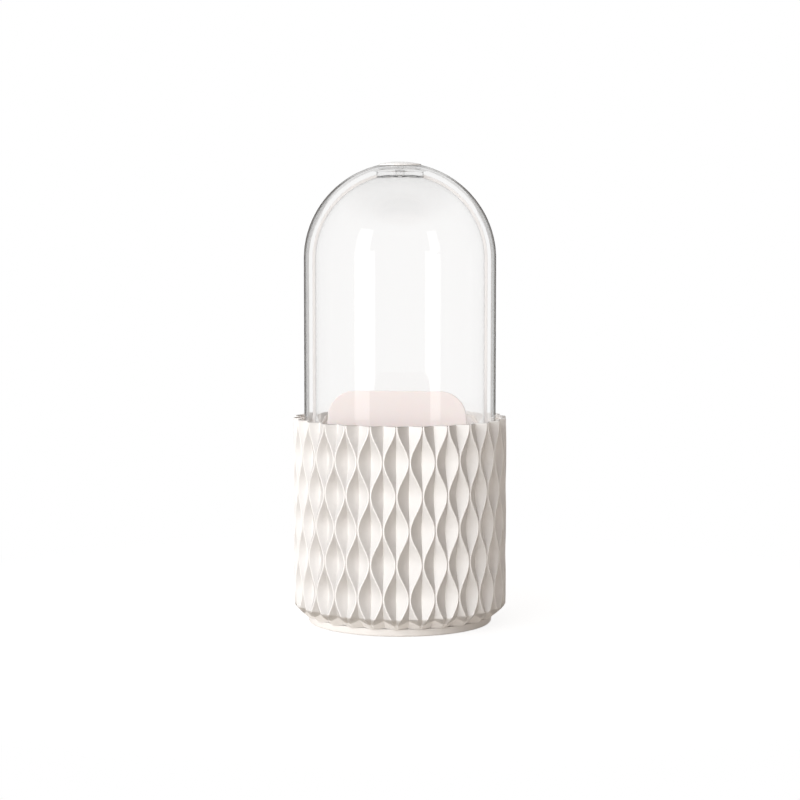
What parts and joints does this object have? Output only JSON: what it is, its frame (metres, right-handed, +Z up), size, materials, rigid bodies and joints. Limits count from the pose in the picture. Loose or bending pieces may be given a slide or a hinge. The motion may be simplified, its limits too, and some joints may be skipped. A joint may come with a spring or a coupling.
{
  "type": "makeup organizer",
  "caption": "Round rotating cosmetics organizer: a leaf-patterned drum on a turntable foot, with a lift-out tray and brush dividers under a clear dome with a turning door.",
  "frame": {"origin": "centre of the underside of the foot's rubber ring, on the surface that it stands on", "axes": "+Z up along the turntable's axis, -Y towards the front of the closed door, +X to the right seen from the front"},
  "size_m": [0.14, 0.14, 0.3014],
  "materials": {
    "drum_plastic": "fine matt moulded plastic, warm white",
    "rim_plastic": "smooth satin moulded plastic, warm white",
    "cup_plastic": "satin moulded plastic, white",
    "insert_plastic": "satin moulded plastic, pinkish white",
    "foot_plastic": "fine matt moulded plastic, warm light grey",
    "clear_acrylic": "clear polished acrylic",
    "clear_nylon": "clear moulded plastic, satin",
    "button_plastic": "glossy moulded plastic, white",
    "bearing_plastic": "natural acetal",
    "steel": "bright zinc plated steel",
    "ball_steel": "polished bearing steel",
    "rubber": "soft grey rubber"
  },
  "bodies": {
    "base": {"turntable_foot": "foot_plastic", "foot_ring": "rubber", "centre_axle": "steel", "axle_washer": "bearing_plastic", "axle_clip": "steel"},
    "ball_race": {"ball_cage": "bearing_plastic", "bearing_balls": "ball_steel"},
    "drum": {"turntable_plate": "foot_plastic", "floor_screws": "steel", "wave_sleeve": "drum_plastic", "rim_ring": "rim_plastic", "inner_cup": "cup_plastic", "dome_rear": "clear_acrylic", "pivot_cap": "button_plastic", "pivot_bush": "clear_nylon", "slip_washer": "clear_nylon", "pivot_screw": "clear_nylon", "screw_washer": "clear_nylon"},
    "door": {"dome_door": "clear_acrylic"},
    "tray": {"front_tray": "insert_plastic"},
    "dividers": {"divider_long": "insert_plastic", "divider_short": "insert_plastic"}
  },
  "joints": [
    {"name": "turntable_spin", "type": "hinge", "parent": "base", "child": "drum", "pos_m": [0, 0, 0.0084], "axis": [0, 0, 1], "continuous": true},
    {"name": "ball_race_turn", "type": "hinge", "parent": "base", "child": "ball_race", "pos_m": [0, 0, 0.0084], "axis": [0, 0, 1], "continuous": true},
    {"name": "door_turn", "type": "hinge", "parent": "drum", "child": "door", "pos_m": [0, 0, 0.2972], "axis": [0, 0, 1], "range_deg": [0, 166.6]},
    {"name": "tray_lift", "type": "slide", "parent": "drum", "child": "tray", "axis": [0, 0, 1], "range_m": [0, 0.065]},
    {"name": "dividers_lift", "type": "slide", "parent": "drum", "child": "dividers", "axis": [0, 0, 1], "range_m": [0, 0.116]}
  ],
  "couplings": [
    {"joint": "ball_race_turn", "follows": "turntable_spin", "ratio": 0.5}
  ]
}
